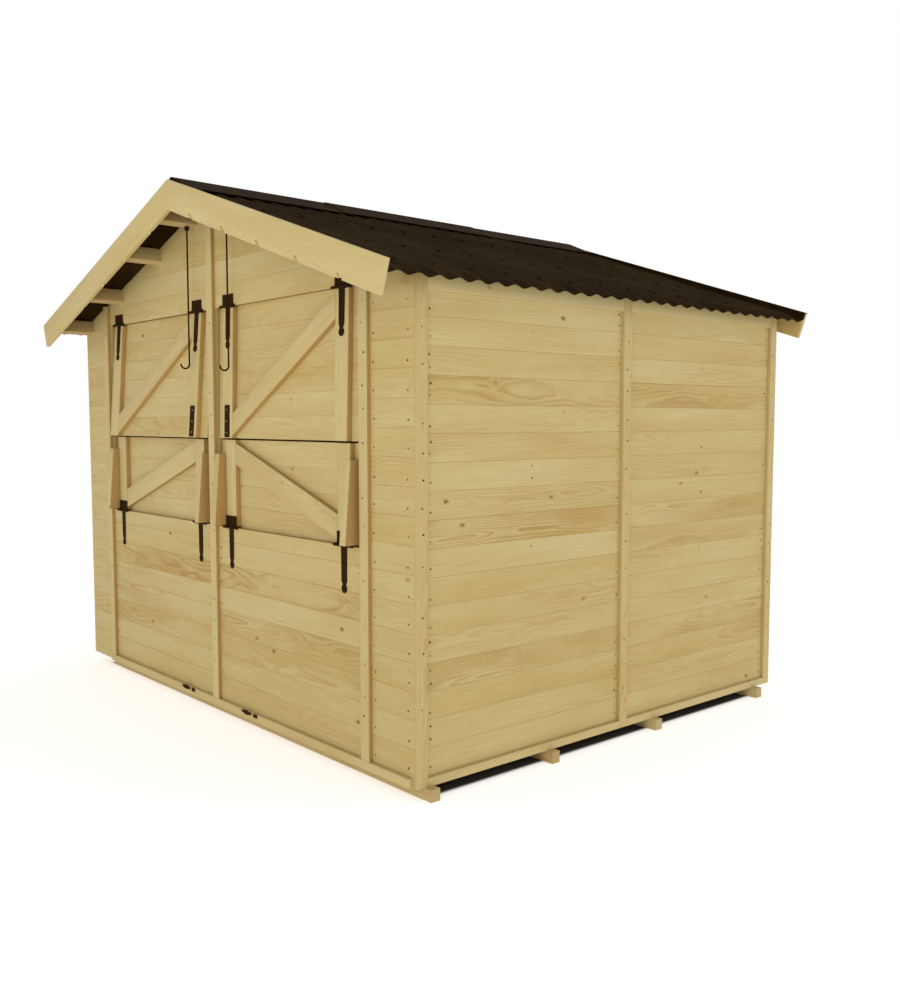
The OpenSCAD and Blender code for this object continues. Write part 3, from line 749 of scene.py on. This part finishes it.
def headGroup():  # a domed head on every point, turned to face the way the point says
    group = bpy.data.node_groups.new("domedHeads", "GeometryNodeTree")
    face = group.interface
    face.new_socket("Points", in_out="INPUT", socket_type="NodeSocketGeometry")
    for label in ("Radius", "Rise", "Uneven"):
        face.new_socket(label, in_out="INPUT", socket_type="NodeSocketFloat")
    face.new_socket("Finish", in_out="INPUT", socket_type="NodeSocketMaterial")
    face.new_socket("Heads", in_out="OUTPUT", socket_type="NodeSocketGeometry")
    add, wire = group.nodes.new, group.links.new
    given, done = add("NodeGroupInput"), add("NodeGroupOutput")
    ball = add("GeometryNodeMeshUVSphere")
    ball.inputs["Segments"].default_value = headShape["segments"]
    ball.inputs["Rings"].default_value = headShape["rings"]
    ball.inputs["Radius"].default_value = 1.0
    facing = add("GeometryNodeInputNamedAttribute")
    facing.data_type = "FLOAT_VECTOR"
    facing.inputs["Name"].default_value = "facing"
    turn = add("FunctionNodeAlignRotationToVector")
    wire(facing.outputs["Attribute"], turn.inputs["Vector"])
    vary = add("FunctionNodeRandomValue")
    vary.data_type = "FLOAT"
    vary.inputs["Seed"].default_value = headShape["seed"]
    low, high = add("ShaderNodeMath"), add("ShaderNodeMath")
    low.operation, high.operation = "SUBTRACT", "ADD"
    for edge, socket in ((low, vary.inputs[2]), (high, vary.inputs[3])):
        edge.inputs[0].default_value = 1.0
        wire(given.outputs["Uneven"], edge.inputs[1])
        wire(edge.outputs[0], socket)
    size = add("ShaderNodeCombineXYZ")
    for i, label in enumerate(("Radius", "Radius", "Rise")):
        wire(given.outputs[label], size.inputs[i])
    grow = add("ShaderNodeVectorMath")
    grow.operation = "SCALE"
    wire(size.outputs[0], grow.inputs[0])
    wire(vary.outputs[1], grow.inputs["Scale"])
    spread = add("GeometryNodeInstanceOnPoints")
    wire(given.outputs["Points"], spread.inputs["Points"])
    wire(ball.outputs["Mesh"], spread.inputs["Instance"])
    wire(turn.outputs["Rotation"], spread.inputs["Rotation"])
    wire(grow.outputs["Vector"], spread.inputs["Scale"])
    solid, coat = add("GeometryNodeRealizeInstances"), add("GeometryNodeSetMaterial")
    wire(spread.outputs["Instances"], solid.inputs["Geometry"])
    wire(solid.outputs["Geometry"], coat.inputs["Geometry"])
    wire(given.outputs["Finish"], coat.inputs["Material"])
    wire(coat.outputs["Geometry"], done.inputs["Heads"])
    return group


domedHeads = headGroup()
headSpots = {}


def addHead(kind, body, place, facing):
    headSpots.setdefault((kind, body), []).append((Vector(place), Vector(facing).normalized()))


def swingOut(body, place):  # a place on a closed shutter, moved to where the shutter hangs
    pin = pinOf(body)
    return Matrix.Rotation(-ajar(body), 3, "X") @ (Vector(place) - pin) + pin


def setHeads(kind, body, spots):
    look = headKinds[kind]
    cloud = bpy.data.meshes.new(kind + "Points")
    cloud.from_pydata([s[0] for s in spots], [], [])
    facing = cloud.attributes.new("facing", "FLOAT_VECTOR", "POINT")
    facing.data.foreach_set("vector", [c for s in spots for c in s[1]])
    carrier = bpy.data.objects.new(kind + "Points", cloud)
    bpy.context.scene.collection.objects.link(carrier)
    maker = carrier.modifiers.new("heads", "NODES")
    maker.node_group = domedHeads
    wanted = {"Radius": look["radius"], "Rise": look["rise"], "Uneven": look["uneven"], "Finish": look["finish"]}
    for item in domedHeads.interface.items_tree:
        if item.in_out == "INPUT" and item.name in wanted:
            maker[item.identifier] = wanted[item.name]
    bpy.context.view_layer.update()
    mesh = bpy.data.meshes.new_from_object(carrier.evaluated_get(bpy.context.evaluated_depsgraph_get()))
    bpy.data.objects.remove(carrier)
    mesh.name = kind + "s_" + body
    for f in mesh.polygons:
        f.use_smooth = True
    placePiece(mesh.name, mesh, None, body, look["slot"])


def courses(rule, low, high):
    law = boardRules[rule]
    step = law["first"]
    while step < low:
        step += law["pitch"]
    while step + law["pitch"] < high:
        yield step, step + law["pitch"]
        step += law["pitch"]


nailDice = random.Random(41)
jogs = {"board": 0.004, "sideTrim": 0.006, "frontTrim": 0.008, "upTrim": 0.02}


def jog(kind="board"):
    return nailDice.uniform(-jogs[kind], jogs[kind])


nailing = {"fromCorner": 0.062, "moved": 0.01, "besideTrim": 0.042, "nearTrim": 0.05, "upBoard": 0.030,
           "downSide": 0.028, "downFront": 0.030, "trimEdge": 0.025, "besideReturn": 0.020, "returnEdge": 0.036,
           "besideCentre": 0.046, "besideJamb": 0.018, "besideDoor": 0.445, "skirtTop": 0.09, "underEave": 0.08,
           "sillTop": 0.12, "overHead": 0.10, "wallTop": 1.98}
nailChance = {"midTrim": 0.9, "corner": 0.95, "stud": 0.3, "second": 0.5, "sideTrim": 0.7, "frontTrim": 0.75,
              "lowerSecond": 0.4}


def addNail(x, y, z, facing):
    addHead("nail", "hut", (x, y, z), facing)


wallLow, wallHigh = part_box("right_wall")
studs = openCopy("side_studs")
studLines = sorted({round((min(v.co.y for v in g) + max(v.co.y for v in g)) / 2, 3) for g in islands(studs)})
studs.free()
frontY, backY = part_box("front_returns")[0].y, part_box("rear_wall")[1].y
for side in (-1, 1):
    x = side * wallHigh.x
    for line in studLines:
        y = min(max(line, wallLow.y + nailing["fromCorner"]), wallHigh.y - nailing["fromCorner"])
        if abs(line - midTrim) < nailing["nearTrim"]:
            rows, often = (midTrim - nailing["besideTrim"], midTrim + nailing["besideTrim"]), nailChance["midTrim"]
        else:
            rows, often = (y,), nailChance["corner" if abs(y - line) > nailing["moved"] else "stud"]
        for row in rows:
            for low, high in courses("side", wallLow.z, wallHigh.z):
                if nailDice.random() < often:
                    addNail(x, row + jog(), low + nailing["upBoard"] + jog(), (side, 0, 0))
                if nailDice.random() < often * nailChance["second"]:
                    addNail(x, row + jog(), high - nailing["downSide"] + jog(), (side, 0, 0))
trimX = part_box("side_trims")[1].x
for side in (-1, 1):
    for line in (frontY + nailing["trimEdge"], midTrim, backY - nailing["trimEdge"]):
        for low, high in courses("side", nailing["skirtTop"], wallHigh.z - nailing["underEave"]):
            if nailDice.random() < nailChance["sideTrim"]:
                addNail(side * trimX, line + jog("sideTrim"), (low + high) / 2 + jog("upTrim"), (side, 0, 0))
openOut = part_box("front_lower_wall")[1].x
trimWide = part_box("front_trims")[1].x - openOut
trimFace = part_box("front_trims")[0].y
for x in (-openOut - trimWide / 2, 0.0, openOut + trimWide / 2):
    for low, high in courses("front", nailing["sillTop"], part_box("front_gable")[0].z + nailing["overHead"]):
        if nailDice.random() < nailChance["frontTrim"]:
            addNail(x + jog("frontTrim"), trimFace, (low + high) / 2 + jog("upTrim"), south)
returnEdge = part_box("front_returns")[1].x - nailing["returnEdge"]
for side in (-1, 1):
    for low, high in courses("front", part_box("front_returns")[0].z, nailing["wallTop"]):
        for x in (openOut + trimWide + nailing["besideReturn"], returnEdge):
            addNail(side * x + jog(), frontY, low + nailing["upBoard"] + jog(), south)
    for low, high in courses("front", nailing["sillTop"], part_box("front_lower_wall")[1].z):
        for x in (nailing["besideCentre"], openOut - nailing["besideJamb"]):
            addNail(side * x + jog(), frontY, low + nailing["upBoard"] + jog(), south)
            if nailDice.random() < nailChance["lowerSecond"]:
                addNail(side * x + jog(), frontY, high - nailing["downFront"] + jog(), south)
    for low, high in courses("front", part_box("rear_wall")[0].z, nailing["wallTop"]):
        for x in (nailing["besideDoor"], returnEdge):
            addNail(side * x + jog(), backY, low + nailing["upBoard"] + jog(), north)
print("nail places:", sum(len(v) for v in headSpots.values()))

# black bolts in the hinge straps and plates, bright screws in the keep plates
hingeHeads = {"face": 0.0030, "strap": ((0.0, -0.042), (0.0, -0.105), (0.0, -0.176)),
              "plate": ((-0.034, 0.020), (0.034, 0.020), (-0.034, 0.043), (0.034, 0.043)),
              "keepFoot": 1.358, "keep": (0.022, 0.075, 0.128)}
for side in ("left", "right"):
    irons = openCopy(side + "_fixed_irons")
    strapEnds = sorted({round(sum(v.co.x for v in p) / len(p), 2) for p in islands(irons)})
    irons.free()
    for leaf in ("shutter", "counter"):
        body = side + "_" + leaf
        pin = pinOf(body)
        leafFront = Matrix.Rotation(-ajar(body), 3, "X") @ south
        for x in strapEnds:
            for part, holder in (("strap", "shutter"), ("plate", "counter")):
                for dx, dz in hingeHeads[part]:
                    spot = Vector((x + dx, frontY - hingeHeads["face"], pin.z + dz))
                    if leaf == holder:
                        addHead("bolt", body, swingOut(body, spot), leafFront)
                    else:
                        addHead("bolt", "hut", spot, south)
        if leaf == "shutter":
            for dz in hingeHeads["keep"]:
                spot = (min(strapEnds, key=abs), frontY - hingeHeads["face"], hingeHeads["keepFoot"] + dz)
                addHead("screw", body, swingOut(body, spot), leafFront)

# capped nails through every other crest of the sheets, over the purlins
for side, sign in (("left", -1), ("right", 1)):
    node = side + "_roof_sheets"
    ridge, reach = ridgeAndReach(node, sign)
    down, out = slopeAxes(sign)
    tops = {}
    for v in nodes[node].data.vertices:
        y = round(v.co.y, 3)
        tops[y] = max(tops.get(y, 0), (v.co - ridge).dot(out))
    lines = sorted(tops)
    peaks = [b for a, b, c in zip(lines, lines[1:], lines[2:])
             if tops[b] > tops[a] + 1e-4 and tops[b] >= tops[c]]
    for run in roofLook["nailRuns"]:
        for y in peaks[1::2]:
            place = ridge + down * run + out * tops[y] + Vector((0, y, 0))
            addHead("cap", "hut", settled(place, sign, ridge, reach), out)

for (kind, body), spots in headSpots.items():
    setHeads(kind, body, spots)
print("heads set:", {k: len(v) for k, v in headSpots.items()})


# floor, sky and lamps

studio = {"floor": (0.92, 0.92, 0.915), "floorGlow": 0.52, "floorHalf": 60.0, "floorRough": 0.9,
          "floorSpecular": 0.1, "driftScale": 0.8, "driftTone": 0.99, "sky": 0.58,
          # painted shadow on the floor under the hut: dark colour and no glow
          "under": {"color": (0.06, 0.055, 0.05), "middle": (0.06, 0.045), "reach": (1.50, 1.20),
                    "fade": (-0.06, -0.03)},
          "lamps": {"wide": {"at": (7.0, -7.5, 4.0), "size": 6.0, "power": 72.0, "to": (0, 0, 1.2)},
                    "low": {"at": (3.0, -6.2, 1.0), "size": 3.0, "power": 7.6, "to": (0.5, -1.2, 2.15), "spread": 55},
                    "right": {"at": (8.5, 4.5, 5.5), "size": 6.0, "power": 84.0, "to": (0, 0, 1.2),
                              "color": (0.97, 1.0, 1.09)}}}


def paleFloor():
    finish, tree, skin = startFinish("paleFloor")
    spot = tree.nodes.new("ShaderNodeTexCoord").outputs["Object"]
    drift = speckle(tree, spot, studio["driftScale"])
    base = studio["floor"]
    pale = tint(tree, drift, base, tuple(c * studio["driftTone"] for c in base))
    skin.inputs["Roughness"].default_value = studio["floorRough"]
    skin.inputs["Emission Color"].default_value = (1, 1, 1, 1)
    split = tree.nodes.new("ShaderNodeSeparateXYZ")
    tree.links.new(spot, split.inputs[0])
    under = studio["under"]  # painted shadow under the hut: a dark base colour and no glow there
    sides = [calc(tree, "SUBTRACT", calc(tree, "ABSOLUTE", calc(tree, "SUBTRACT", way, mid)), reach)
             for way, mid, reach in zip(split.outputs, under["middle"], under["reach"])]
    clear = ramp(tree, calc(tree, "MAXIMUM", *sides), *under["fade"])
    tree.links.new(calc(tree, "MULTIPLY", clear, studio["floorGlow"]), skin.inputs["Emission Strength"])
    tree.links.new(tint(tree, clear, under["color"], pale), skin.inputs["Base Color"])
    skin.inputs["Specular IOR Level"].default_value = studio["floorSpecular"]
    half = studio["floorHalf"]
    mesh = bpy.data.meshes.new("studioFloor")
    mesh.from_pydata([(-half, -half, 0), (half, -half, 0), (half, half, 0), (-half, half, 0)], [], [(0, 1, 2, 3)])
    mesh.materials.append(finish)
    ground = bpy.data.objects.new("studioFloor", mesh)
    bpy.context.scene.collection.objects.link(ground)


def skyLight():
    world = bpy.data.worlds.new("studioSky")
    bpy.context.scene.world = world
    world.use_nodes = True
    tree = world.node_tree
    back = tree.nodes["Background"]
    rays = tree.nodes.new("ShaderNodeLightPath")
    seen = calc(tree, "MAXIMUM", rays.outputs["Is Camera Ray"], rays.outputs["Is Glossy Ray"])
    seen = calc(tree, "MAXIMUM", seen, rays.outputs["Is Transmission Ray"])
    bright = calc(tree, "ADD", calc(tree, "MULTIPLY", seen, 1.0 - studio["sky"]), studio["sky"])
    tree.links.new(bright, back.inputs["Strength"])
    back.inputs["Color"].default_value = (1, 1, 1, 1)


paleFloor()
skyLight()
for name, lamp in studio["lamps"].items():
    light = bpy.data.lights.new(name + "Lamp", "AREA")
    light.size = lamp["size"]
    light.energy = lamp["power"]
    light.color = lamp.get("color", (1, 1, 1))
    light.spread = math.radians(lamp.get("spread", 180))
    holder = bpy.data.objects.new(name + "Lamp", light)
    bpy.context.scene.collection.objects.link(holder)
    holder.location = lamp["at"]
    aim = Vector(lamp["to"]) - Vector(lamp["at"])
    holder.rotation_euler = aim.to_track_quat("-Z", "Y").to_euler()
print("studio lit")
